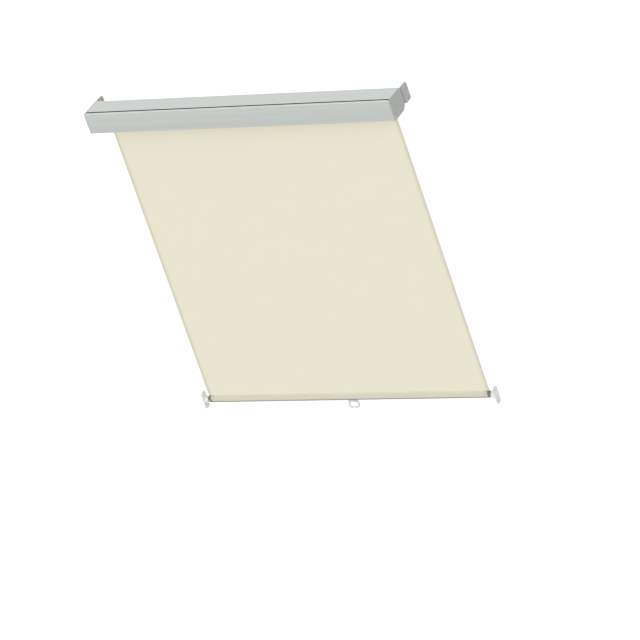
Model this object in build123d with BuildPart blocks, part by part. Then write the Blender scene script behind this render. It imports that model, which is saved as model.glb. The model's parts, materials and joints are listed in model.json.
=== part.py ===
from build123d import *
import os
from math import pi, radians, sqrt, tan

# Spring roller blind with side hooks, cloth half drawn. Millimetres.
# X runs along the casing, -Y is the front, +Z runs up the hanging cloth.
# The origin is the middle of the casing's flat top face.
os.makedirs("parts", exist_ok=True)

# Casing: one aluminium extrusion, open at the back and bottom, closed by a moulded cap at each end
casing_length = 640.0
casing_depth = 46.0
casing_height = 41.2
casing_wall = 1.5
front_bow = 1.2            # the front face bulges by this much at mid height
top_edge_radius = 1.4
lip_radius = 0.7
back_lip_height = 5.0
bottom_lip_depth = 8.0
groove_width = 3.2         # shadow groove along the top, just behind the front edge
groove_depth = 2.0
groove_inset = 3.0
cap_plate = 2.5
cap_plate_edge = 0.5
port_radius = 3.0          # round screw ports of the extrusion
port_bore_radius = 1.6
port_slit = 1.6
port_slit_reach = 4.0
port_overlap = 0.4         # how far a port's wall sinks in the casing's wall

# Roller: aluminium tube with a groove for the cloth, turning between the two caps
roller_length = 600.0
tube_radius = 12.0
tube_wall = 1.0
pocket_width = 5.0
pocket_height = 2.2
mouth_width = 2.4
channel_wall = 0.8
axis_y = 2.0
axis_z = -22.0
plug_flange = 2.0
plug_depth = 26.0
fit_gap = 0.05             # radial clearance of a pin in its bearing
part_gap = 0.3             # clearance between pieces that move past each other
idle_pin_radius = 2.0
spindle_radius = 2.5
spindle_square = 3.6
boss_radius = 6.5
pin_relief = 2.0           # the idle pin stops this much short of its plug's inner end
rod_chamfer = 0.5

# Torsion spring inside the tube, near the right end
spring_wire = 1.4          # square wire
spring_mean_radius = 6.2
spring_pitch = 7.5
spring_turns = 14
spring_start_x = 143.0
spindle_lead = 14.0        # length of the spindle before the spring
spring_end_reach = 0.9     # reach of the wire's cut ends along X
carrier_collar_radius = 5.0
spring_hub_radius = 7.4
hub_length = 6.0

# Cloth
cloth_width = 598.0
cloth_thickness = 0.3
cloth_solid = 0.6          # the hanging sheet and the hem are drawn twice as thick as the cloth
wound_length = 430.0       # what is still on the tube in this position
bar_bottom_z = -645.3      # lowest edge of the bottom bar's strip

# Bottom bar: hollow aluminium bar wrapped in the cloth, with a plastic strip along its lower edge
bar_depth = 7.6
bar_height = 12.0
bar_radius = 3.7
bar_wall = 1.2
bar_web = 1.7              # between the bar's hollow and the strip's channel
bar_set_back = 4.7         # the bar, its hem and its strip end this far inside the cloth's side edges
strip_width = 4.8
strip_stem = 2.4
strip_stem_height = 2.2
strip_cover = 1.9          # how far the strip stands below the bare bar
bar_pin_radius = 2.2
bar_pin_length = 9.0
bar_plug_depth = 14.0
bar_cap_edge = 0.8
bar_pin_edge = 0.9
strip_corner = 1.1

# Hooks that hold the ends of the bar
hook_face_x = 311.5        # the hooks' screwed faces stand a little inside the brackets'
hook_wall = 1.8
hook_lip = 8.0             # straight part of the hook's front, down from its arch
hook_leg = 10.0
hook_turn = 150.0
hook_reach = 10.5
hook_plate = 2.5
hook_plate_width = 14.0
hook_plate_height = 34.0
hook_plate_corner = 4.2
hook_hole_spacing = 24.0
hook_plate_drop = 3.0
hook_plate_edge = 0.5

# Brackets that hold the casing
bracket_plate = 3.0
bracket_width = 22.0
bracket_height = 34.0
bracket_front_y = 25.0
bracket_middle_z = -18.0
bracket_hole_y = 39.0
bracket_hole_spacing = 20.0
post_radius = 3.0
post_length = 10.0
post_y = 29.0
post_z = -12.0
post_chamfer = 0.6
bracket_edge = 0.6
claw_radius = 5.4
claw_width = 8.0
claw_arm = 4.0
claw_margin = 1.5          # between the claw and the cap's plate
screw_hole_radius = 2.1
screw_head_radius = 3.9

# Pull tab: clear moulded loop on the strip, a little to the right of its middle
tab_x = 7.5
tab_drop = 0.4             # from the strip's lower edge to the top of the loop, inside the saddle
tab_width = 23.0
tab_height = 16.2
tab_thickness = 2.6
tab_corner = 6.0
tab_rim = 3.4              # the loop's rim at its sides and bottom
tab_top_rim = 4.6
tab_hole_corner = 3.8
tab_edge = 0.7
tab_tilt = 10.0
saddle_length = 18.0
saddle_wall = 1.0

# Sizes that follow from the ones above
front_y = -casing_depth / 2
back_y = casing_depth / 2
casing_half = casing_length / 2
extrusion_half = casing_half - cap_plate
roller_half = roller_length / 2
cloth_half = cloth_width / 2
roll_radius = sqrt(tube_radius**2 + wound_length * cloth_thickness / pi)
cloth_y = axis_y + roll_radius + part_gap + cloth_solid / 2
bar_middle_z = bar_bottom_z + strip_cover + bar_height / 2
hem_top_z = bar_middle_z + bar_height / 2 + cloth_solid
bar_half = cloth_half - bar_set_back
channel_width = pocket_width + 2 * channel_wall
channel_floor = tube_radius - tube_wall - pocket_height - channel_wall
port_centre = port_radius - port_overlap
front_port = (front_y + casing_wall + port_centre, casing_wall + port_centre - casing_height)
back_port = (back_y - casing_wall - port_centre, -casing_wall - port_centre)
sides = (("left", -1), ("right", 1))


def outline_front(inset):
    """The bowed front line of the casing, moved inwards by inset, as three points."""
    y = front_y + inset
    return (y + front_bow, 0), (y, -casing_height / 2), (y + front_bow, -casing_height)


def screw_planes(sign):
    """Planes on the outer face of one end, one at each screw port, facing outwards."""
    return [Plane((sign * casing_half, y, z), z_dir=(sign, 0, 0)) for y, z in (front_port, back_port)]


# Casing extrusion
with BuildPart() as casing:
    with BuildSketch(Plane.YZ.offset(-extrusion_half)) as casing_section:
        with BuildLine():
            outer = ThreePointArc(*outline_front(0))
            inner = ThreePointArc(*outline_front(casing_wall))
            Line(outer @ 0, inner @ 0)
            Line(outer @ 1, inner @ 1)
        make_face()
        with Locations((front_y + front_bow, 0)):
            Rectangle(casing_depth - front_bow, casing_wall, align=(Align.MIN, Align.MAX))
            groove_body = groove_inset + groove_width + casing_wall
            Rectangle(groove_body, groove_depth + casing_wall, align=(Align.MIN, Align.MAX))
        with Locations((back_y, 0)):
            Rectangle(casing_wall, back_lip_height, align=(Align.MAX, Align.MAX))
        with Locations((front_y + front_bow, -casing_height)):
            Rectangle(bottom_lip_depth, casing_wall, align=(Align.MIN, Align.MIN))
        with Locations((front_y + front_bow + groove_inset, 0)):
            Rectangle(groove_width, groove_depth, align=(Align.MIN, Align.MAX), mode=Mode.SUBTRACT)
        with Locations(front_port, back_port):
            Circle(port_radius)
        with Locations(front_port, back_port):
            Circle(port_bore_radius, mode=Mode.SUBTRACT)
        with Locations(front_port):
            Rectangle(port_slit, port_slit_reach, align=(Align.CENTER, Align.MIN), mode=Mode.SUBTRACT)
        with Locations(back_port):
            Rectangle(port_slit_reach, port_slit, align=(Align.MAX, Align.CENTER), mode=Mode.SUBTRACT)
        top_corner = casing_section.vertices().group_by(Axis.Y)[-1].sort_by(Axis.X)[0]
        fillet(top_corner, top_edge_radius)
        bottom_corner = casing_section.vertices().group_by(Axis.Y)[0].sort_by(Axis.X)[0]
        fillet(bottom_corner, lip_radius)
    extrude(amount=2 * extrusion_half)
casing.part.label = "casing"
export_step(casing.part, "parts/casing.step")

# End caps: a plate over the casing's end, ribs that find its inside, the roller's boss and a claw at the back
rear_corner = 15.0
rib_length = 8.0
rib_thickness = 1.6
rib_gap = 0.1
front_rib_height = 18.0
top_rib_length = 16.0
web_length = 5.0
web_height = 24.0
claw_mouth = 100.0
counter_sink_angle = 90.0
cap_screw_head = 3.1
cap_screw_cone = (cap_screw_head - port_bore_radius) / tan(radians(counter_sink_angle / 2))
boss_end = roller_half + plug_flange + part_gap
claw_start = extrusion_half - claw_width - claw_margin
claw_inner_radius = post_radius + fit_gap
web_back_y = axis_y + web_height / 2
arm_root = 3.0             # how far the claw's arm runs into the web
for side, sign in sides:
    with BuildPart() as end_cap:
        with BuildSketch(Plane.YZ.offset(sign * extrusion_half)) as cap_outline:
            with BuildLine():
                face = ThreePointArc(*outline_front(0))
                Polyline(face @ 0, (back_y, 0), (back_y, -casing_height), face @ 1)
            make_face()
            fillet(cap_outline.vertices().group_by(Axis.Y)[0].sort_by(Axis.X)[-1], rear_corner)
            fillet(cap_outline.vertices().group_by(Axis.Y)[-1].sort_by(Axis.X)[0], top_edge_radius)
        extrude(amount=sign * cap_plate)
        outer_face = end_cap.faces().sort_by(Axis.X)[-1 if sign > 0 else 0]
        chamfer(outer_face.edges(), cap_plate_edge)
        with BuildSketch(Plane.YZ.offset(sign * extrusion_half)):
            with Locations((front_y + front_bow + casing_wall + rib_gap, axis_z)):
                Rectangle(rib_thickness, front_rib_height, align=(Align.MIN, Align.CENTER))
            with Locations((axis_y, -casing_wall - rib_gap)):
                Rectangle(top_rib_length, rib_thickness, align=(Align.CENTER, Align.MAX))
        extrude(amount=-sign * rib_length)
        with BuildSketch(Plane.YZ.offset(sign * extrusion_half)):
            with Locations((axis_y, axis_z)):
                Rectangle(rib_thickness, web_height)
                Rectangle(web_height, rib_thickness)
        extrude(amount=-sign * web_length)
        with BuildSketch(Plane.YZ.offset(sign * extrusion_half)):
            with Locations((axis_y, axis_z)):
                Circle(boss_radius)
        extrude(amount=-sign * (extrusion_half - boss_end))
        with BuildSketch(Plane.YZ.offset(sign * claw_start)):
            with BuildLine():
                claw_line_radius = (claw_radius + claw_inner_radius) / 2
                CenterArc((post_y, post_z), claw_line_radius, 270 + claw_mouth / 2, 360 - claw_mouth)
            trace(line_width=claw_radius - claw_inner_radius)
        extrude(amount=sign * claw_width)
        with BuildSketch(Plane.YZ.offset(sign * claw_start)):
            with Locations((post_y - claw_inner_radius, post_z)):
                Rectangle(post_y - web_back_y, claw_arm, align=(Align.MAX, Align.CENTER))
        extrude(amount=sign * claw_width)
        with BuildSketch(Plane.YZ.offset(sign * extrusion_half)):
            with Locations((back_y, post_z)):
                Rectangle(back_y - web_back_y + arm_root, claw_arm, align=(Align.MAX, Align.CENTER))
        extrude(amount=-sign * (extrusion_half - claw_start))
        with BuildSketch(Plane.YZ.offset(sign * boss_end)):
            with Locations((axis_y, axis_z)):
                if side == "left":
                    Circle(idle_pin_radius)
                else:
                    Rectangle(spindle_square, spindle_square)
        extrude(amount=sign * (extrusion_half - boss_end), mode=Mode.SUBTRACT)
        with Locations(*screw_planes(sign)):
            CounterSinkHole(port_bore_radius, cap_screw_head, cap_plate, counter_sink_angle)
    end_cap.part.label = f"end_cap_{side}"
    export_step(end_cap.part, f"parts/end_cap_{side}.step")

# Countersunk screws that hold the caps in the casing's ports, two at each end, flush with the caps
screw_shank_radius = port_bore_radius - fit_gap
screw_length = 14.0
recess_width = 0.8
recess_length = 3.0
recess_depth = 1.0
below_face = (Align.CENTER, Align.CENTER, Align.MAX)
with BuildPart() as cap_screws:
    for side, sign in sides:
        with Locations(*screw_planes(sign)):
            Cone(screw_shank_radius, cap_screw_head, cap_screw_cone, align=below_face)
            Cylinder(screw_shank_radius, screw_length, align=below_face)
            Box(recess_width, recess_length, 2 * recess_depth, mode=Mode.SUBTRACT)
            Box(recess_length, recess_width, 2 * recess_depth, mode=Mode.SUBTRACT)
cap_screws.part.label = "cap_screws"
export_step(cap_screws.part, "parts/cap_screws.step")

# Brackets: a plate with two screw holes and the post that the cap's claw snaps on
bracket_corner = 4.0
for side, sign in sides:
    with BuildPart() as bracket:
        plate_middle_y = bracket_front_y + bracket_width / 2
        with BuildSketch(Plane.YZ.offset(sign * (casing_half - bracket_plate))):
            with Locations((plate_middle_y, bracket_middle_z)):
                RectangleRounded(bracket_width, bracket_height, bracket_corner)
        extrude(amount=sign * bracket_plate)
        plate_face = bracket.faces().sort_by(Axis.X)[0 if sign > 0 else -1]
        chamfer(plate_face.edges(), bracket_edge)
        with BuildSketch(Plane.YZ.offset(sign * (casing_half - bracket_plate))):
            with Locations((post_y, post_z)):
                Circle(post_radius)
        extrude(amount=-sign * post_length)
        post_tip = bracket.faces().sort_by(Axis.X)[0 if sign > 0 else -1]
        chamfer(post_tip.edges(), post_chamfer)
        inner_face = Plane((sign * (casing_half - bracket_plate), bracket_hole_y, bracket_middle_z),
                           x_dir=(0, 0, 1), z_dir=(-sign, 0, 0))
        with Locations(inner_face):
            with GridLocations(bracket_hole_spacing, 1, 2, 1):
                CounterSinkHole(screw_hole_radius, screw_head_radius, bracket_plate)
    bracket.part.label = f"bracket_{side}"
    export_step(bracket.part, f"parts/bracket_{side}.step")

# Roller tube with its cloth groove at the top
with BuildPart() as roller_tube:
    with BuildSketch(Plane.YZ.offset(-roller_half)):
        with Locations((axis_y, axis_z)):
            Circle(tube_radius)
            Circle(tube_radius - tube_wall, mode=Mode.SUBTRACT)
        with Locations((axis_y, axis_z + channel_floor)):
            Rectangle(channel_width, tube_radius - channel_floor, align=(Align.CENTER, Align.MIN))
        with Locations((axis_y, axis_z)):
            Circle(tube_radius, mode=Mode.INTERSECT)
        with Locations((axis_y, axis_z + channel_floor + channel_wall)):
            Rectangle(pocket_width, pocket_height, align=(Align.CENTER, Align.MIN), mode=Mode.SUBTRACT)
            Rectangle(mouth_width, tube_radius, align=(Align.CENTER, Align.MIN), mode=Mode.SUBTRACT)
    extrude(amount=roller_length)
roller_tube.part.label = "roller_tube"
export_step(roller_tube.part, "parts/roller_tube.step")

# Plugs that close the tube: the left one turns on the idle pin, the right one on the spring's spindle
plug_gap = 0.1
channel_room = channel_width + 2 * plug_gap
for plug_name, sign, bore_radius in (("idle_plug", -1, idle_pin_radius), ("spring_plug", 1, spindle_radius)):
    with BuildPart() as plug:
        with BuildSketch(Plane.YZ.offset(sign * (roller_half - plug_depth))):
            with Locations((axis_y, axis_z)):
                Circle(tube_radius - tube_wall - plug_gap)
            with Locations((axis_y, axis_z + channel_floor - plug_gap)):
                Rectangle(channel_room, tube_radius, align=(Align.CENTER, Align.MIN), mode=Mode.SUBTRACT)
        extrude(amount=sign * plug_depth)
        with BuildSketch(Plane.YZ.offset(sign * roller_half)):
            with Locations((axis_y, axis_z)):
                Circle(tube_radius)
        extrude(amount=sign * plug_flange)
        with BuildSketch(Plane.YZ.offset(sign * (roller_half - plug_depth))):
            with Locations((axis_y, axis_z)):
                Circle(bore_radius + fit_gap)
        extrude(amount=sign * (plug_depth + plug_flange), mode=Mode.SUBTRACT)
        rim = plug.faces().sort_by(Axis.X)[-1 if sign > 0 else 0].edges().sort_by(SortBy.LENGTH)[-1]
        chamfer(rim, rod_chamfer)
    plug.part.label = plug_name
    export_step(plug.part, f"parts/{plug_name}.step")

# Idle pin, pressed in the left cap's boss
with BuildPart() as idle_pin:
    with BuildSketch(Plane.YZ.offset(-extrusion_half)):
        with Locations((axis_y, axis_z)):
            Circle(idle_pin_radius)
    extrude(amount=extrusion_half - roller_half + plug_depth - pin_relief)
    chamfer(idle_pin.faces().sort_by(Axis.X)[-1].edges(), rod_chamfer)
idle_pin.part.label = "idle_pin"
export_step(idle_pin.part, "parts/idle_pin.step")

# Spindle: a round rod along the spring, with a square end that the right cap keeps from turning
spindle_inner_x = spring_start_x - spindle_lead
square_start = boss_end - part_gap / 2
with BuildPart() as spring_spindle:
    with BuildSketch(Plane.YZ.offset(spindle_inner_x)):
        with Locations((axis_y, axis_z)):
            Circle(spindle_radius)
    extrude(amount=square_start - spindle_inner_x)
    with BuildSketch(Plane.YZ.offset(square_start)):
        with Locations((axis_y, axis_z)):
            Rectangle(spindle_square, spindle_square)
    extrude(amount=extrusion_half - square_start)
    chamfer(spring_spindle.faces().sort_by(Axis.X)[0].edges(), rod_chamfer)
spring_spindle.part.label = "spring_spindle"
export_step(spring_spindle.part, "parts/spring_spindle.step")

# Torsion spring around the spindle
spring_length = spring_turns * spring_pitch
with BuildPart() as torsion_spring:
    with BuildLine() as spring_path:
        Helix(spring_pitch, spring_length, spring_mean_radius,
              center=(spring_start_x, axis_y, axis_z), direction=(1, 0, 0))
    wire_start = spring_path.line @ 0
    outwards = wire_start - Vector(spring_start_x, axis_y, axis_z)
    with BuildSketch(Plane(wire_start, x_dir=outwards, z_dir=spring_path.line % 0)):
        Rectangle(spring_wire, spring_wire)
    sweep(is_frenet=True)
torsion_spring.part.label = "torsion_spring"
export_step(torsion_spring.part, "parts/torsion_spring.step")

# Spring hub, fixed on the spindle, and spring carrier, turning with the tube at the spring's far end
hub_x = spring_start_x + spring_length + spring_end_reach
hub_collar_radius = spring_mean_radius - spring_wire / 2 - fit_gap
with BuildPart() as spring_hub:
    with BuildSketch(Plane.YZ.offset(hub_x)):
        with Locations((axis_y, axis_z)):
            Circle(spring_hub_radius)
    extrude(amount=hub_length)
    with BuildSketch(Plane.YZ.offset(hub_x)):
        with Locations((axis_y, axis_z)):
            Circle(hub_collar_radius)
    extrude(amount=-2 * hub_length)
    with BuildSketch(Plane.YZ.offset(hub_x - 2 * hub_length)):
        with Locations((axis_y, axis_z)):
            Circle(spindle_radius)
    extrude(amount=3 * hub_length, mode=Mode.SUBTRACT)
spring_hub.part.label = "spring_hub"
export_step(spring_hub.part, "parts/spring_hub.step")

carrier_x = spring_start_x - spring_end_reach - part_gap
with BuildPart() as spring_carrier:
    with BuildSketch(Plane.YZ.offset(carrier_x)):
        with Locations((axis_y, axis_z)):
            Circle(tube_radius - tube_wall - plug_gap)
        with Locations((axis_y, axis_z + channel_floor - plug_gap)):
            Rectangle(channel_room, tube_radius, align=(Align.CENTER, Align.MIN), mode=Mode.SUBTRACT)
    extrude(amount=-2 * hub_length)
    with BuildSketch(Plane.YZ.offset(carrier_x)):
        with Locations((axis_y, axis_z)):
            Circle(carrier_collar_radius)
    extrude(amount=hub_length)
    with BuildSketch(Plane.YZ.offset(carrier_x - 2 * hub_length)):
        with Locations((axis_y, axis_z)):
            Circle(spindle_radius + fit_gap)
    extrude(amount=3 * hub_length, mode=Mode.SUBTRACT)
spring_carrier.part.label = "spring_carrier"
export_step(spring_carrier.part, "parts/spring_carrier.step")

# Plastic spline that wedges the cloth's end in the tube's groove
spline_gap = 0.2
spline_corner = 0.6
spline_width = pocket_width - 2 * spline_gap
spline_height = pocket_height - 2 * spline_gap
with BuildPart() as cloth_spline:
    with BuildSketch(Plane.YZ.offset(-cloth_half)):
        with Locations((axis_y, axis_z + channel_floor + channel_wall + pocket_height / 2)):
            RectangleRounded(spline_width, spline_height, spline_corner)
    extrude(amount=cloth_width)
cloth_spline.part.label = "cloth_spline"
export_step(cloth_spline.part, "parts/cloth_spline.step")

# Cloth wound on the tube, all its turns as one solid
with BuildPart() as cloth_roll:
    with BuildSketch(Plane.YZ.offset(-cloth_half)):
        with Locations((axis_y, axis_z)):
            Circle(roll_radius)
            Circle(tube_radius, mode=Mode.SUBTRACT)
    extrude(amount=cloth_width)
cloth_roll.part.label = "cloth_roll"
export_step(cloth_roll.part, "parts/cloth_roll.step")

# Cloth hanging from the back of the roll to the hem
with BuildPart() as cloth:
    with BuildSketch(Plane.XY.offset(hem_top_z)):
        with Locations((0, cloth_y)):
            Rectangle(cloth_width, cloth_solid)
    extrude(amount=axis_z - hem_top_z)
cloth.part.label = "cloth"
export_step(cloth.part, "parts/cloth.step")

# Bottom bar: hollow oval extrusion with a channel along its lower edge
bar_hollow_height = bar_height - bar_wall - bar_web - strip_stem_height
hem_depth = bar_depth + 2 * cloth_solid
hem_radius = bar_radius + cloth_solid
with BuildPart() as bottom_bar:
    with BuildSketch(Plane.YZ.offset(-bar_half)):
        with Locations((cloth_y, bar_middle_z)):
            RectangleRounded(bar_depth, bar_height, bar_radius)
        with Locations((cloth_y, bar_middle_z + bar_height / 2 - bar_wall)):
            RectangleRounded(bar_depth - 2 * bar_wall, bar_hollow_height, bar_radius - bar_wall,
                             align=(Align.CENTER, Align.MAX), mode=Mode.SUBTRACT)
        with Locations((cloth_y, bar_middle_z - bar_height / 2)):
            Rectangle(strip_stem, strip_stem_height, align=(Align.CENTER, Align.MIN), mode=Mode.SUBTRACT)
    extrude(amount=2 * bar_half)
bottom_bar.part.label = "bottom_bar"
export_step(bottom_bar.part, "parts/bottom_bar.step")

# Cloth wrapped round the bar, open along the bottom where the strip holds its two edges
with BuildPart() as cloth_hem:
    with BuildSketch(Plane.YZ.offset(-bar_half)):
        with Locations((cloth_y, bar_middle_z)):
            RectangleRounded(hem_depth, bar_height + 2 * cloth_solid, hem_radius)
            RectangleRounded(bar_depth, bar_height, bar_radius, mode=Mode.SUBTRACT)
        with Locations((cloth_y, bar_middle_z)):
            Rectangle(strip_width, bar_height, align=(Align.CENTER, Align.MAX), mode=Mode.SUBTRACT)
    extrude(amount=2 * bar_half)
cloth_hem.part.label = "cloth_hem"
export_step(cloth_hem.part, "parts/cloth_hem.step")

# Strip snapped in the bar's channel, seen as a thin grey line along the lower edge
with BuildPart() as bar_strip:
    with BuildSketch(Plane.YZ.offset(-bar_half)) as strip_section:
        with Locations((cloth_y, bar_bottom_z)):
            Rectangle(strip_width, strip_cover, align=(Align.CENTER, Align.MIN))
        fillet(strip_section.vertices().group_by(Axis.Y)[0], strip_corner)
        with Locations((cloth_y, bar_bottom_z + strip_cover)):
            Rectangle(strip_stem, strip_stem_height, align=(Align.CENTER, Align.MIN))
    extrude(amount=2 * bar_half)
bar_strip.part.label = "bar_strip"
export_step(bar_strip.part, "parts/bar_strip.step")

# Caps of the bar, flush with the cloth's side edges: each has a plug in the bar and a pin in the hook
bar_full_height = bar_height + strip_cover
for side, sign in sides:
    with BuildPart() as bar_cap:
        with BuildSketch(Plane.YZ.offset(sign * bar_half)):
            with Locations((cloth_y, bar_bottom_z)):
                RectangleRounded(hem_depth, bar_full_height, hem_radius, align=(Align.CENTER, Align.MIN))
        extrude(amount=sign * bar_set_back)
        outer_face = bar_cap.faces().sort_by(Axis.X)[-1 if sign > 0 else 0]
        fillet(outer_face.edges(), bar_cap_edge)
        with BuildSketch(Plane.YZ.offset(sign * cloth_half)):
            with Locations((cloth_y, bar_middle_z)):
                Circle(bar_pin_radius)
        extrude(amount=sign * bar_pin_length)
        pin_tip = bar_cap.faces().sort_by(Axis.X)[-1 if sign > 0 else 0]
        fillet(pin_tip.edges(), bar_pin_edge)
        with BuildSketch(Plane.YZ.offset(sign * bar_half)):
            with Locations((cloth_y, bar_middle_z + bar_height / 2 - bar_wall - plug_gap)):
                RectangleRounded(bar_depth - 2 * bar_wall - 2 * plug_gap, bar_hollow_height - 2 * plug_gap,
                                 bar_radius - bar_wall - plug_gap, align=(Align.CENTER, Align.MAX))
        extrude(amount=-sign * bar_plug_depth)
    bar_cap.part.label = f"bar_cap_{side}"
    export_step(bar_cap.part, f"parts/bar_cap_{side}.step")

# Pull tab: a saddle that grips the strip and a finger loop that leans forwards
upright_plane = Plane((tab_x, cloth_y, bar_bottom_z), x_dir=(1, 0, 0), z_dir=(0, -1, 0))
tab_plane = upright_plane.rotated((-tab_tilt, 0, 0))
hole_width = tab_width - 2 * tab_rim
hole_height = tab_height - tab_top_rim - tab_rim
with BuildPart() as pull_tab:
    with BuildSketch(tab_plane):
        with Locations((0, -tab_drop)):
            RectangleRounded(tab_width, tab_height, tab_corner, align=(Align.CENTER, Align.MAX))
        with Locations((0, -tab_drop - tab_top_rim)):
            RectangleRounded(hole_width, hole_height, tab_hole_corner, align=(Align.CENTER, Align.MAX),
                             mode=Mode.SUBTRACT)
    extrude(amount=tab_thickness / 2, both=True)
    fillet(pull_tab.faces().filter_by(tab_plane).edges(), tab_edge)
    with BuildSketch(Plane.YZ.offset(tab_x - saddle_length / 2)) as saddle_section:
        with Locations((cloth_y, bar_bottom_z - saddle_wall)):
            Rectangle(strip_width + 2 * saddle_wall, strip_cover + saddle_wall - cloth_solid - part_gap,
                      align=(Align.CENTER, Align.MIN))
        fillet(saddle_section.vertices().group_by(Axis.Y)[0], saddle_wall)
    extrude(amount=saddle_length)
    add(bar_strip.part, mode=Mode.SUBTRACT)
pull_tab.part.label = "pull_tab"
export_step(pull_tab.part, "parts/pull_tab.step")

# Hooks: an arch over the bar's pin, with a short lip in front of the pin and a longer leg behind it
hook_line_radius = bar_pin_radius + part_gap + hook_wall / 2
for side, sign in sides:
    with BuildPart() as hook:
        with BuildSketch(Plane.YZ.offset(sign * (hook_face_x - hook_plate))):
            with Locations((cloth_y, bar_middle_z - hook_plate_drop)):
                RectangleRounded(hook_plate_width, hook_plate_height, hook_plate_corner)
        extrude(amount=sign * hook_plate)
        plate_face = hook.faces().sort_by(Axis.X)[0 if sign > 0 else -1]
        chamfer(plate_face.edges(), hook_plate_edge)
        with BuildSketch(Plane.YZ.offset(sign * (hook_face_x - hook_plate))):
            with Locations((cloth_y, bar_middle_z - hook_plate_drop)):
                with GridLocations(1, hook_hole_spacing, 1, 2):
                    Circle(screw_hole_radius)
        extrude(amount=sign * hook_plate, mode=Mode.SUBTRACT)
        with BuildSketch(Plane.YZ.offset(sign * (hook_face_x - hook_plate))):
            with BuildLine():
                arch = CenterArc((cloth_y, bar_middle_z), hook_line_radius, 0, hook_turn)
                Line(arch @ 0, (cloth_y + hook_line_radius, bar_middle_z - hook_leg))
                PolarLine(arch @ 1, hook_lip, direction=arch % 1)
            trace(line_width=hook_wall)
        extrude(amount=-sign * (hook_reach - hook_plate))
    hook.part.label = f"hook_{side}"
    export_step(hook.part, f"parts/hook_{side}.step")
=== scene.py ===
import json
import math

import bpy
from mathutils import Matrix, Vector


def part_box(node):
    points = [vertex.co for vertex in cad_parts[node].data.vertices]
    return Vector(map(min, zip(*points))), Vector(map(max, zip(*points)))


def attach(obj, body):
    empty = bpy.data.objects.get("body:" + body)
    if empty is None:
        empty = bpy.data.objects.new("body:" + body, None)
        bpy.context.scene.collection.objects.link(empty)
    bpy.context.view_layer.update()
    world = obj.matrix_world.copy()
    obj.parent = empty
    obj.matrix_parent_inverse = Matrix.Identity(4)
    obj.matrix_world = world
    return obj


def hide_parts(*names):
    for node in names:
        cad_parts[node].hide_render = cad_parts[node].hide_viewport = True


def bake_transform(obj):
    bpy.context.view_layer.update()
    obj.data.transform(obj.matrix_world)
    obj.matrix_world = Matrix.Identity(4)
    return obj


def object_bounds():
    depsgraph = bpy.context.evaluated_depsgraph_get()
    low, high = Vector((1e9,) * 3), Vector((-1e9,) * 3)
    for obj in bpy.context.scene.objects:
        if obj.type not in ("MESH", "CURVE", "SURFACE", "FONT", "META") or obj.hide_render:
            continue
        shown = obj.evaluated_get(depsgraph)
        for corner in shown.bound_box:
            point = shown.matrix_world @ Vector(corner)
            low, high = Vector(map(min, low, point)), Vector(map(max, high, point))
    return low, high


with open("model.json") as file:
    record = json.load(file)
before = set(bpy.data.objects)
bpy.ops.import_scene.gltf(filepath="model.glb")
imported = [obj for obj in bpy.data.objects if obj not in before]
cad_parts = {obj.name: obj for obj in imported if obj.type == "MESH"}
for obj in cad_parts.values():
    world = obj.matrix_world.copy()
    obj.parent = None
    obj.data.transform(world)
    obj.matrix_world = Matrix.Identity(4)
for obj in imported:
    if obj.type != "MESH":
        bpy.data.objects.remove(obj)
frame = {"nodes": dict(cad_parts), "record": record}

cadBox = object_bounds()
mm = 0.001


# Where the photograph was taken from, in the blind's own upright frame. The blind leans back in the
# photograph, so the camera leans here in its place.
cameraPlace = {
    "position": (6.0941, -8.4933, 4.8366),
    "right": (0.85422, 0.42801, -0.29514),
    "up": (0.02037, 0.53970, 0.84161),
    "lens": 363.9,       # lens and sensor in millimetres
    "sensor": 36.0,
    "reach": 200.0,      # how far it sees, in metres
}


def buildCamera():
    data = bpy.data.cameras.new("photoCamera")
    data.lens = cameraPlace["lens"]
    data.sensor_width = cameraPlace["sensor"]
    data.clip_end = cameraPlace["reach"]
    right = Vector(cameraPlace["right"]).normalized()
    back = right.cross(Vector(cameraPlace["up"])).normalized()
    turn = Matrix((right, back.cross(right), back)).transposed().to_4x4()
    camera = bpy.data.objects.new("photoCamera", data)
    camera.matrix_world = Matrix.Translation(cameraPlace["position"]) @ turn
    bpy.context.scene.collection.objects.link(camera)
    bpy.context.scene.camera = camera


# Node and material helpers, with the settings that maths and mix nodes use most
add = {"operation": "ADD"}
subtract = {"operation": "SUBTRACT"}
multiply = {"operation": "MULTIPLY"}
ofColours = {"data_type": "RGBA"}
white = (1.0, 1.0, 1.0, 1.0)


def addNode(tree, kind, values=None, settings=None):
    # values are plain numbers, sockets to link, or nodes, which give their first output;
    # settings are the node's own choices
    node = tree.nodes.new(kind)
    for name, value in (settings or {}).items():
        setattr(node, name, value)
    for name, value in (values or {}).items():
        if isinstance(value, bpy.types.Node):
            value = value.outputs[0]
        if isinstance(value, bpy.types.NodeSocket):
            tree.links.new(value, node.inputs[name])
        else:
            node.inputs[name].default_value = value
    return node


def linearColour(hexCode):
    # the sRGB standard's own curve
    linear = []
    for start in (1, 3, 5):
        share = int(hexCode[start:start + 2], 16) / 255
        linear.append(share / 12.92 if share <= 0.04045 else ((share + 0.055) / 1.055) ** 2.4)
    return (*linear, 1.0)


def newFinish(name, shaderValues):
    material = bpy.data.materials.new(name)
    material.use_nodes = True
    tree = material.node_tree
    tree.nodes.clear()
    shader = addNode(tree, "ShaderNodeBsdfPrincipled", shaderValues)
    addNode(tree, "ShaderNodeOutputMaterial", {"Surface": shader})
    return material, tree, shader


def stretchedNoise(tree, vector, perMetre, detail=2.0):
    # noise with a different number of grains per metre along each axis
    mapping = addNode(tree, "ShaderNodeMapping", {"Vector": vector, "Scale": perMetre})
    values = {"Vector": mapping, "Scale": 1.0, "Detail": detail, "Roughness": 0.5}
    return addNode(tree, "ShaderNodeTexNoise", values).outputs["Fac"]


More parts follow.
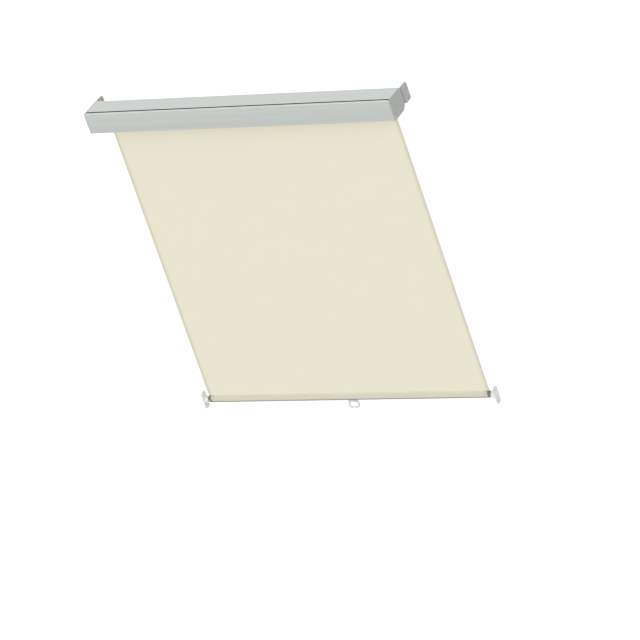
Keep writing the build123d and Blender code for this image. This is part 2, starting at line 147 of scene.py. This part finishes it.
def spreadOut(tree, socket, low, high):
    # noise lies mostly between 0.3 and 0.7, and this spreads it between low and high
    values = {"Value": socket, "From Min": 0.3, "From Max": 0.7, "To Min": low, "To Max": high}
    return addNode(tree, "ShaderNodeMapRange", values, {"clamp": True}).outputs[0]


# Woven blackout cloth, cream: matt, very even, with a fine plain weave and faint slubs in the yarn.
# The 0.5 mm threads show only close up, as they do on the real cloth. Round the bar the cloth's colour is
# painted darker, as painted shade. Just below the seam it is painted lighter, as painted light that fades
# into that shade. The side edges are painted greyer, as painted shade.
clothFinish = {
    # on the hem every tone is darkened, as painted shade, except its lighter seam tone, which is painted
    # light
    "sheet": {"colour": "#e9e4cf", "slubColour": "#e3dec8", "edgePaintedShade": "#d3cfbc", "seamPaintedLight": "#e9e4cf"},
    "hem": {"colour": "#d7d3be", "slubColour": "#d2cdb9", "edgePaintedShade": "#c9c6b3", "seamPaintedLight": "#e5e2ce"},
    "seamPaintedLightFade": (2.0 * mm, 5.0 * mm),    # run of cloth over which the painted light at the seam fades out
    "edgePaintedShadeFade": (2.0 * mm, 9.0 * mm),   # painted shade: the side edges are greyer, which fades out further in
    "roughness": 0.86,
    "ior": 1.46,
    "sheen": 0.06,
    "sheenRoughness": 0.5,
    "thread": 0.5 * mm,
    "threadHeight": 0.06 * mm,
    "threadBump": 0.5,
    "slubLength": 45 * mm,
    "slubWidth": 0.9 * mm,
    "slubShare": 0.5,
    "uvMap": "weave",                    # metres across the cloth and along it
}


def wovenCloth(name, tone, width):
    look = clothFinish
    material, tree, shader = newFinish(name, {
        "Roughness": look["roughness"],
        "IOR": look["ior"],
        "Sheen Weight": look["sheen"],
        "Sheen Roughness": look["sheenRoughness"],
    })
    uv = addNode(tree, "ShaderNodeUVMap", settings={"uv_map": look["uvMap"]}).outputs["UV"]
    place = addNode(tree, "ShaderNodeSeparateXYZ", {"Vector": uv}).outputs

    # plain weave: warp and weft lie on top in turn, like the squares of a chessboard
    def threadProfile(distance):
        turned = addNode(tree, "ShaderNodeMath", {0: distance, 1: math.pi / look["thread"]}, multiply)
        wave = addNode(tree, "ShaderNodeMath", {0: turned}, {"operation": "SINE"})
        return addNode(tree, "ShaderNodeMath", {0: wave}, {"operation": "ABSOLUTE"})

    squares = addNode(tree, "ShaderNodeTexChecker", {"Vector": uv, "Scale": 1 / look["thread"]})
    values = {0: squares.outputs["Fac"], 2: threadProfile(place["X"]), 3: threadProfile(place["Y"])}
    height = addNode(tree, "ShaderNodeMix", values, {"data_type": "FLOAT"})
    values = {"Height": height, "Strength": look["threadBump"], "Distance": look["threadHeight"]}
    bump = addNode(tree, "ShaderNodeBump", values)
    tree.links.new(bump.outputs[0], shader.inputs["Normal"])

    # slubs: slightly darker stretches of yarn, up and down and from side to side
    alongWarp = stretchedNoise(tree, uv, (1 / look["slubWidth"], 1 / look["slubLength"], 1.0))
    alongWeft = stretchedNoise(tree, uv, (1 / look["slubLength"], 1 / look["slubWidth"], 1.0))
    values = {0: spreadOut(tree, alongWarp, 0, 1), 1: spreadOut(tree, alongWeft, 0, 1)}
    both = addNode(tree, "ShaderNodeMath", values, add)
    slubs = addNode(tree, "ShaderNodeMath", {0: both, 1: look["slubShare"] / 2}, multiply)
    values = {0: slubs, 6: linearColour(tone["colour"]), 7: linearColour(tone["slubColour"])}
    colour = addNode(tree, "ShaderNodeMix", values, ofColours).outputs[2]

    # painted light near the seam, and painted shade on the greyer side edges
    fromMiddle = addNode(tree, "ShaderNodeMath", {0: place["X"]}, {"operation": "ABSOLUTE"})
    fromEdge = addNode(tree, "ShaderNodeMath", {0: width / 2, 1: fromMiddle}, subtract)
    fades = ((place["Y"], "seamPaintedLightFade", "seamPaintedLight"), (fromEdge, "edgePaintedShadeFade", "edgePaintedShade"))
    for distance, span, paintedTone in fades:
        near, far = look[span]
        values = {"Value": distance, "From Min": near, "From Max": far, "To Min": 1.0, "To Max": 0.0}
        share = addNode(tree, "ShaderNodeMapRange", values)
        values = {0: share, 6: colour, 7: linearColour(tone[paintedTone])}
        colour = addNode(tree, "ShaderNodeMix", values, ofColours).outputs[2]
    tree.links.new(colour, shader.inputs["Base Color"])
    return material


# Natural anodised aluminium, satin: a soft grey sheen, drawn out along its length by the extrusion die.
# The die lines are about 0.3 mm apart, and the broader streaks between them are what shows from afar.
# The tube and the bottom bar are mill finished, as they left the die.
aluminiumFinish = {
    "anodised": {"light": "#bec2bf", "dark": "#b8bcb9", "roughness": 0.36, "relief": 0.004 * mm},
    "mill": {"light": "#c9cbcc", "dark": "#b9bbbd", "roughness": 0.34, "relief": 0.006 * mm},
    "roughnessSpread": 0.05,
    "dieLine": 0.3 * mm,
    "dieLineBump": 0.35,
    "streak": 2.4 * mm,
    "streakDetail": 3.0,
    "streakLength": 900 * mm,
    "groovePaintedShade": "#303331",     # painted shade in the shadow groove along the casing's top
    "grooveY": (-18.9 * mm, -15.5 * mm),
    "grooveZ": (-2.1 * mm, -0.15 * mm),
}


def extrudedAluminium(name, tone, paintGrooveShade=False):
    look = aluminiumFinish
    material, tree, shader = newFinish(name, {"Metallic": 1.0})
    place = addNode(tree, "ShaderNodeTexCoord").outputs["Object"]
    length, line, streak = 1 / look["streakLength"], 1 / look["dieLine"], 1 / look["streak"]
    fine = stretchedNoise(tree, place, (length, line, line))
    broad = stretchedNoise(tree, place, (length, streak, streak), look["streakDetail"])
    streaks = spreadOut(tree, broad, 0, 1)
    values = {0: streaks, 6: linearColour(tone["light"]), 7: linearColour(tone["dark"])}
    colour = addNode(tree, "ShaderNodeMix", values, ofColours).outputs[2]
    # painted shade: the colour inside the groove along the casing's top is darkened
    if paintGrooveShade:
        parts = addNode(tree, "ShaderNodeSeparateXYZ", {"Vector": place}).outputs
        within = []
        for axis, key in (("Y", "grooveY"), ("Z", "grooveZ")):
            low, high = look[key]
            values = {0: parts[axis], 1: (low + high) / 2, 2: (high - low) / 2}
            within.append(addNode(tree, "ShaderNodeMath", values, {"operation": "COMPARE"}))
        inside = addNode(tree, "ShaderNodeMath", {0: within[0], 1: within[1]}, multiply)
        values = {0: inside, 6: colour, 7: linearColour(look["groovePaintedShade"])}
        colour = addNode(tree, "ShaderNodeMix", values, ofColours).outputs[2]
    tree.links.new(colour, shader.inputs["Base Color"])
    spread = look["roughnessSpread"]
    rough = spreadOut(tree, fine, tone["roughness"] - spread, tone["roughness"] + spread)
    tree.links.new(rough, shader.inputs["Roughness"])
    values = {"Height": fine, "Strength": look["dieLineBump"], "Distance": tone["relief"]}
    bump = addNode(tree, "ShaderNodeBump", values)
    tree.links.new(bump.outputs[0], shader.inputs["Normal"])
    return material


# Moulded plastic, and the extruded strip, which is finished alike: an even colour with a fine
# spark-eroded grain, and softer cloudy marks where it flowed
plasticFinish = {
    "grey": {"light": "#b3b5b3", "dark": "#abadab", "roughness": 0.5},
    "white": {"light": "#e9e9e7", "dark": "#e3e3e1", "roughness": 0.45},
    "strip": {"light": "#9a9b94", "dark": "#92938c", "roughness": 0.5},
    "darkGrey": {"light": "#7d7d75", "dark": "#75756e", "roughness": 0.5},
    "ior": 1.5,
    "roughnessSpread": 0.06,
    "grain": 0.35 * mm,
    "grainHeight": 0.02 * mm,
    "grainBump": 0.4,
    "cloud": 14 * mm,
}


def mouldedPlastic(name, tone):
    look = plasticFinish
    material, tree, shader = newFinish(name, {"IOR": look["ior"]})
    place = addNode(tree, "ShaderNodeTexCoord").outputs["Object"]
    grain = stretchedNoise(tree, place, (1 / look["grain"],) * 3)
    cloud = stretchedNoise(tree, place, (1 / look["cloud"],) * 3)
    clouds = spreadOut(tree, cloud, 0, 1)
    values = {0: clouds, 6: linearColour(tone["light"]), 7: linearColour(tone["dark"])}
    colour = addNode(tree, "ShaderNodeMix", values, ofColours).outputs[2]
    tree.links.new(colour, shader.inputs["Base Color"])
    spread = look["roughnessSpread"]
    rough = spreadOut(tree, grain, tone["roughness"] - spread, tone["roughness"] + spread)
    tree.links.new(rough, shader.inputs["Roughness"])
    values = {"Height": grain, "Strength": look["grainBump"], "Distance": look["grainHeight"]}
    bump = addNode(tree, "ShaderNodeBump", values)
    tree.links.new(bump.outputs[0], shader.inputs["Normal"])
    return material


# Clear polycarbonate, moulded: see-through with a grey cast, slightly frosted by wear, and its gloss is
# broken by shallow flow marks
clearFinish = {
    "colour": "#d9dcdb",
    "transmission": 0.88,
    "ior": 1.58,
    "roughness": (0.24, 0.34),
    "flowMark": 4 * mm,
    "flowHeight": 0.1 * mm,
    "flowBump": 0.2,
}


def clearPolycarbonate():
    look = clearFinish
    material, tree, shader = newFinish("clearPolycarbonate", {
        "Transmission Weight": look["transmission"],
        "IOR": look["ior"],
        "Base Color": linearColour(look["colour"]),
    })
    place = addNode(tree, "ShaderNodeTexCoord").outputs["Object"]
    flow = stretchedNoise(tree, place, (1 / look["flowMark"],) * 3)
    tree.links.new(spreadOut(tree, flow, *look["roughness"]), shader.inputs["Roughness"])
    values = {"Height": flow, "Strength": look["flowBump"], "Distance": look["flowHeight"]}
    bump = addNode(tree, "ShaderNodeBump", values)
    tree.links.new(bump.outputs[0], shader.inputs["Normal"])
    return material


# Zinc plated steel: bright bluish grey, slightly blotched by the plating
zincFinish = {
    "light": "#c3c6c8",
    "dark": "#a4a8ab",
    "roughness": (0.24, 0.4),
    "blotch": 2.2 * mm,
    "blotchDetail": 4.0,
}


def zincPlatedSteel():
    look = zincFinish
    material, tree, shader = newFinish("zincPlatedSteel", {"Metallic": 1.0})
    place = addNode(tree, "ShaderNodeTexCoord").outputs["Object"]
    blotch = stretchedNoise(tree, place, (1 / look["blotch"],) * 3, look["blotchDetail"])
    blotches = spreadOut(tree, blotch, 0, 1)
    values = {0: blotches, 6: linearColour(look["light"]), 7: linearColour(look["dark"])}
    colour = addNode(tree, "ShaderNodeMix", values, ofColours).outputs[2]
    tree.links.new(colour, shader.inputs["Base Color"])
    tree.links.new(spreadOut(tree, blotch, *look["roughness"]), shader.inputs["Roughness"])
    return material


# Mesh helpers
cutEdgeAngle = math.radians(40)


def meshObject(name, rows, uvRows, material):
    # rows is a grid of points, and every four neighbours make a face
    mesh = bpy.data.meshes.new(name)
    columns = len(rows[0])
    points = [point for row in rows for point in row]
    faces = []
    for r in range(len(rows) - 1):
        for c in range(columns - 1):
            first = r * columns + c
            faces.append((first, first + 1, first + columns + 1, first + columns))
    mesh.from_pydata(points, [], faces)
    layer = mesh.uv_layers.new(name=clothFinish["uvMap"])
    flat = [uv for row in uvRows for uv in row]
    for loop in mesh.loops:
        layer.data[loop.index].uv = flat[loop.vertex_index]
    mesh.shade_smooth()
    mesh.materials.append(material)
    mesh.update()
    piece = bpy.data.objects.new(name, mesh)
    bpy.context.scene.collection.objects.link(piece)
    return piece


def thicken(piece, thickness):
    # gives the sheet its thickness, half to each side, and keeps its cut edges crisp
    solid = piece.modifiers.new("thickness", "SOLIDIFY")
    solid.thickness = thickness
    solid.offset = 0.0
    solid.use_even_offset = True
    bpy.context.view_layer.update()
    depsgraph = bpy.context.evaluated_depsgraph_get()
    mesh = bpy.data.meshes.new_from_object(piece.evaluated_get(depsgraph))
    piece.modifiers.clear()
    piece.data = mesh
    mesh.name = piece.name
    mesh.shade_smooth()
    mesh.set_sharp_from_angle(angle=cutEdgeAngle)


def sweepAlongX(name, path, halfWidth, columns, material, start=0.0):
    # path is a line of (y, z) points, and the cloth's pattern follows its length
    xs = [-halfWidth + 2 * halfWidth * c / (columns - 1) for c in range(columns)]
    rows, uvRows, run = [], [], start
    for i, (y, z) in enumerate(path):
        if i:
            run += math.dist(path[i - 1], path[i])
        rows.append([(x, y, z) for x in xs])
        uvRows.append([(x, run) for x in xs])
    return meshObject(name, rows, uvRows, material), run - start


def arcPoints(centre, radius, first, last, steps):
    # angles in degrees, from +Y towards +Z
    points = []
    for i in range(steps + 1):
        angle = math.radians(first + (last - first) * i / steps)
        points.append((centre[0] + radius * math.cos(angle), centre[1] + radius * math.sin(angle)))
    return points


# The frame's own places, which the cloth follows
rollLow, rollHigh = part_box("cloth_roll")
tubeLow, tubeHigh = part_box("roller_tube")
sheetLow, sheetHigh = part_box("cloth")
barLow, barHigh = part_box("bottom_bar")
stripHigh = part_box("bar_strip")[1]
clothHalf = sheetHigh.x
hemHalf = barHigh.x
rollAxis = ((rollLow.y + rollHigh.y) / 2, (rollLow.z + rollHigh.z) / 2)
rollRadius = (rollHigh.y - rollLow.y) / 2
tubeRadius = (tubeHigh.y - tubeLow.y) / 2
sheetY = (sheetLow.y + sheetHigh.y) / 2

# The hanging sheet, with the stretch that lies on the roll above it
sheetShape = {
    "thickness": 0.36 * mm,
    "lapAngle": 118.0,        # how far it is followed round the roll, in degrees
    "lapSteps": 40,
    "columns": 41,
    "tuck": 0.2 * mm,         # its lower end runs this far into the hem's neck
    "endRow": 1.0 * mm,       # a row of points this near each end keeps the long stretch between them flat
}
hemShape = {
    "thickness": 0.36 * mm,
    "gap": 0.05 * mm,         # between the bar and the cloth round it
    "neck": 0.8 * mm,         # where its two layers meet, above the bar
    "lap": 0.3 * mm,          # the front layer starts this far above the neck
    "proud": 0.03 * mm,       # and this far in front of the sheet
    "weldFlap": 5.0 * mm,     # the back layer is welded to the sheet this far up
    "arcSteps": 14,
    "columns": 41,
}
neckZ = barHigh.z + hemShape["neck"]


def buildSheet(material):
    look = sheetShape
    lapRadius = sheetY - rollAxis[0]
    path = arcPoints(rollAxis, lapRadius, look["lapAngle"], 0.0, look["lapSteps"])
    lowEnd = neckZ - look["tuck"]
    path += [(sheetY, rollAxis[1] - look["endRow"]), (sheetY, lowEnd + look["endRow"]), (sheetY, lowEnd)]
    piece, length = sweepAlongX("clothSheet", path, clothHalf, look["columns"], material)
    thicken(piece, look["thickness"])
    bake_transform(piece)
    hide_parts("cloth")
    return piece, length


# The hem: the cloth runs down the front of the bar, round it and up the back, and is welded to itself
def buildHem(material):
    look = hemShape
    steps = look["arcSteps"]
    barRadius = (barHigh.y - barLow.y) / 2
    radius = barRadius + look["gap"] + look["thickness"] / 2
    topCentre = (sheetY, barHigh.z - barRadius)
    bottomCentre = (sheetY, barLow.z + barRadius)

    # where a straight line from the neck touches the hem's rounded top, and where the cloth ends at the strip
    leave = math.degrees(math.acos(radius / (neckZ - topCentre[1])))
    atStrip = math.degrees(math.acos((stripHigh.y - sheetY) / radius))
    frontY = sheetY - look["proud"]
    backY = sheetY + look["thickness"]
    front = [(frontY, neckZ + look["lap"]), (frontY, neckZ)]
    front += arcPoints(topCentre, radius, 90 + leave, 180, steps)
    front += arcPoints(bottomCentre, radius, 180, 180 + atStrip, steps)
    back = arcPoints(bottomCentre, radius, 360 - atStrip, 360, steps)
    back += arcPoints(topCentre, radius, 0, 90 - leave, steps)
    back += [(backY, neckZ), (backY, neckZ + look["weldFlap"])]
    frontPiece, frontLength = sweepAlongX("clothHemFront", front, hemHalf, look["columns"], material)
    backPiece, backLength = sweepAlongX("clothHemBack", back, hemHalf, look["columns"], material, frontLength)
    for piece in (frontPiece, backPiece):
        thicken(piece, look["thickness"])
        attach(piece, "bar_body")
        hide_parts("cloth_hem")
    return [frontPiece, backPiece], frontLength + backLength


# The cloth wound on the tube: one long sheet in a spiral, made by a rule. It is drawn thinner than the
# hanging sheet, which keeps its turns apart.
rollFit = {
    "thickness": 0.22 * mm,
    "offTube": 0.1 * mm,      # from the tube to the middle of the first turn's thickness
    "inside": 0.15 * mm,      # from the middle of the last turn's thickness to the roll's outside
    "turns": 5.25,
    "stepsPerTurn": 72,
}
rollShape = {
    "Width": 2 * clothHalf,
    "Core Radius": tubeRadius + rollFit["offTube"],
    "Outer Radius": rollRadius - rollFit["inside"],
    "Turns": rollFit["turns"],
    "Steps": round(rollFit["turns"] * rollFit["stepsPerTurn"]),
    "Columns": 2,
    "Axis Y": rollAxis[0],
    "Axis Z": rollAxis[1],
}


def spiralTree(material):
    tree = bpy.data.node_groups.new("woundCloth", "GeometryNodeTree")
    for name, value in rollShape.items():
        kind = "NodeSocketInt" if name in ("Steps", "Columns") else "NodeSocketFloat"
        tree.interface.new_socket(name, in_out="INPUT", socket_type=kind).default_value = value
    tree.interface.new_socket("Geometry", in_out="OUTPUT", socket_type="NodeSocketGeometry")
    given = addNode(tree, "NodeGroupInput").outputs
    values = {"Size X": 1.0, "Size Y": 1.0, "Vertices X": given["Columns"], "Vertices Y": given["Steps"]}
    grid = addNode(tree, "GeometryNodeMeshGrid", values).outputs["Mesh"]
    place = addNode(tree, "ShaderNodeSeparateXYZ", {0: addNode(tree, "GeometryNodeInputPosition")}).outputs

    # share runs from 0 at the tube to 1 at the outside, where the angle is 0 and the sheet leaves the roll
    share = addNode(tree, "ShaderNodeMath", {0: place["Y"], 1: 0.5}, add)
    left = addNode(tree, "ShaderNodeMath", {0: 1.0, 1: share}, subtract)
    turns = addNode(tree, "ShaderNodeMath", {0: left, 1: given["Turns"]}, multiply)
    angle = addNode(tree, "ShaderNodeMath", {0: turns, 1: 2 * math.pi}, multiply)
    depth = addNode(tree, "ShaderNodeMath", {0: given["Outer Radius"], 1: given["Core Radius"]}, subtract)
    grown = addNode(tree, "ShaderNodeMath", {0: depth, 1: share}, multiply)
    radius = addNode(tree, "ShaderNodeMath", {0: given["Core Radius"], 1: grown}, add)

    across = addNode(tree, "ShaderNodeMath", {0: place["X"], 1: given["Width"]}, multiply)
    spots = {"X": across}
    for axis, operation in (("Y", "COSINE"), ("Z", "SINE")):
        wave = addNode(tree, "ShaderNodeMath", {0: angle}, {"operation": operation})
        offset = addNode(tree, "ShaderNodeMath", {0: radius, 1: wave}, multiply)
        spots[axis] = addNode(tree, "ShaderNodeMath", {0: given["Axis " + axis], 1: offset}, add)
    point = addNode(tree, "ShaderNodeCombineXYZ", spots)
    back = addNode(tree, "ShaderNodeMath", {0: angle, 1: -1.0}, multiply)
    run = addNode(tree, "ShaderNodeMath", {0: back, 1: given["Outer Radius"]}, multiply)
    pattern = addNode(tree, "ShaderNodeCombineXYZ", {"X": across, "Y": run})

    values = {"Geometry": grid, "Name": clothFinish["uvMap"], "Value": pattern}
    settings = {"data_type": "FLOAT2", "domain": "CORNER"}
    mapped = addNode(tree, "GeometryNodeStoreNamedAttribute", values, settings)
    wound = addNode(tree, "GeometryNodeSetPosition", {"Geometry": mapped, "Position": point})
    smooth = addNode(tree, "GeometryNodeSetShadeSmooth", {"Geometry": wound})
    real = addNode(tree, "GeometryNodeRealizeInstances", {"Geometry": smooth})
    dressed = addNode(tree, "GeometryNodeSetMaterial", {"Geometry": real, "Material": material})
    addNode(tree, "NodeGroupOutput", {"Geometry": dressed})
    return tree


def fromTree(name, tree):
    # runs the tree on an empty mesh, and keeps what it makes as a plain mesh
    holder = bpy.data.objects.new(name + "Tree", bpy.data.meshes.new(name + "Tree"))
    bpy.context.scene.collection.objects.link(holder)
    holder.modifiers.new("tree", "NODES").node_group = tree
    bpy.context.view_layer.update()
    depsgraph = bpy.context.evaluated_depsgraph_get()
    mesh = bpy.data.meshes.new_from_object(holder.evaluated_get(depsgraph))
    mesh.name = name
    bpy.data.objects.remove(holder)
    piece = bpy.data.objects.new(name, mesh)
    bpy.context.scene.collection.objects.link(piece)
    return piece


def buildRoll(material):
    piece = fromTree("clothRoll", spiralTree(material))
    thicken(piece, rollFit["thickness"])
    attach(piece, "roller_body")
    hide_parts("cloth_roll")
    return piece


# The CAD nodes keep their shape, and take the finish of the slot that the record names
def dressFrame(finishes):
    for part in frame["record"]["subparts"]:
        node = frame["nodes"][part["node"]]
        for materialSlot in node.material_slots:
            materialSlot.material = finishes[part["material_slot"]]


# Studio: a pale floor under the blind, soft lamps in front and behind, and an even white surrounding.
# The low lamps reach the cloth under the casing, and only frontLamp and highLamp shine in the metal.
studio = {
    "floorDrop": 450 * mm,        # the bar comes down 325 mm, and stays clear of the floor
    "floorHalf": 60.0,
    "floorColour": "#e6e6e6",
    "floorRoughness": 0.9,
    "floorLift": 0.52,            # the floor's own light, for rays that see it directly
    "surround": 0.40,             # light from all round on the blind; seen directly it is white
    # in degrees: width, azimuth from the front towards the right, elevation
    "lamps": {
        "frontLamp": {"strength": 0.95, "width": 64, "azimuth": -35, "elevation": 12, "shines": True},
        "lowLamp": {"strength": 1.03, "width": 30, "azimuth": 0, "elevation": 5, "shines": False},
        "sideLamp": {"strength": 0.9, "width": 60, "azimuth": 60, "elevation": 14, "shines": False},
        "backLamp": {"strength": 1.5, "width": 40, "azimuth": 165, "elevation": 8, "shines": False},
        "highLamp": {"strength": 0.36, "width": 90, "azimuth": -145, "elevation": 30, "shines": True},
    },
}


def seenDirectly(tree):
    # 1 for rays from the camera, from gloss and through clear plastic
    rays = addNode(tree, "ShaderNodeLightPath").outputs
    seen = addNode(tree, "ShaderNodeMath", {0: rays["Is Camera Ray"], 1: rays["Is Glossy Ray"]}, add)
    values = {0: seen, 1: rays["Is Transmission Ray"]}
    return addNode(tree, "ShaderNodeMath", values, {"operation": "ADD", "use_clamp": True})


def buildFloor():
    floorZ = cadBox[0].z - studio["floorDrop"]
    half = studio["floorHalf"]
    mesh = bpy.data.meshes.new("floor")
    corners = [(-half, -half, floorZ), (half, -half, floorZ), (half, half, floorZ), (-half, half, floorZ)]
    mesh.from_pydata(corners, [], [(0, 1, 2, 3)])
    floor = bpy.data.objects.new("floor", mesh)
    bpy.context.scene.collection.objects.link(floor)
    material, tree, shader = newFinish("paleFloor", {
        "Base Color": linearColour(studio["floorColour"]),
        "Roughness": studio["floorRoughness"],
        "Emission Color": white,
    })
    lift = addNode(tree, "ShaderNodeMath", {0: seenDirectly(tree), 1: studio["floorLift"]}, multiply)
    tree.links.new(lift.outputs[0], shader.inputs["Emission Strength"])
    mesh.materials.append(material)


def buildSurround():
    world = bpy.data.worlds.new("whiteSurround")
    world.use_nodes = True
    tree = world.node_tree
    tree.nodes.clear()
    values = {"Value": seenDirectly(tree), "To Min": studio["surround"], "To Max": 1.0}
    level = addNode(tree, "ShaderNodeMapRange", values)
    sky = addNode(tree, "ShaderNodeBackground", {"Color": white, "Strength": level})
    addNode(tree, "ShaderNodeOutputWorld", {"Surface": sky})
    bpy.context.scene.world = world


def buildLamps():
    for name, look in studio["lamps"].items():
        data = bpy.data.lights.new(name, "SUN")
        data.energy = look["strength"]
        data.angle = math.radians(look["width"])
        lamp = bpy.data.objects.new(name, data)
        lamp.visible_glossy = look["shines"]
        turn, rise = math.radians(look["azimuth"]), math.radians(look["elevation"])
        towards = Vector((math.sin(turn) * math.cos(rise), -math.cos(turn) * math.cos(rise), math.sin(rise)))
        lamp.rotation_mode = "QUATERNION"
        lamp.rotation_quaternion = towards.to_track_quat("Z", "Y")
        bpy.context.scene.collection.objects.link(lamp)


bpy.context.scene.view_settings.view_transform = "Standard"
buildCamera()
print("camera placed")

cloth = wovenCloth("wovenBlackoutCloth", clothFinish["sheet"], 2 * clothHalf)
# the hem's cloth carries painted shade in its darker colour, and painted light just below its seam
hemClothPaintedShade = wovenCloth("wovenBlackoutClothHemPaintedShade", clothFinish["hem"], 2 * hemHalf)
finishes = {
    "cloth": cloth,
    "anodised_aluminium": extrudedAluminium("satinAnodisedAluminium", aluminiumFinish["anodised"],
                                            paintGrooveShade=True),
    "roller_aluminium": extrudedAluminium("millAluminium", aluminiumFinish["mill"]),
    "grey_plastic": mouldedPlastic("mouldedGreyPlastic", plasticFinish["grey"]),
    "white_plastic": mouldedPlastic("mouldedWhitePlastic", plasticFinish["white"]),
    "strip_plastic": mouldedPlastic("extrudedGreyStrip", plasticFinish["strip"]),
    "dark_plastic": mouldedPlastic("mouldedDarkGreyPlastic", plasticFinish["darkGrey"]),
    "clear_plastic": clearPolycarbonate(),
    "steel": zincPlatedSteel(),
}
dressFrame(finishes)
print("finishes on the frame")

sheet, sheetLength = buildSheet(cloth)
hems, hemLength = buildHem(hemClothPaintedShade)
roll = buildRoll(cloth)
print(f"cloth made: {sheetLength / mm:.0f} mm hanging, {hemLength / mm:.0f} mm round the bar")

buildFloor()
buildSurround()
buildLamps()
print("studio set")
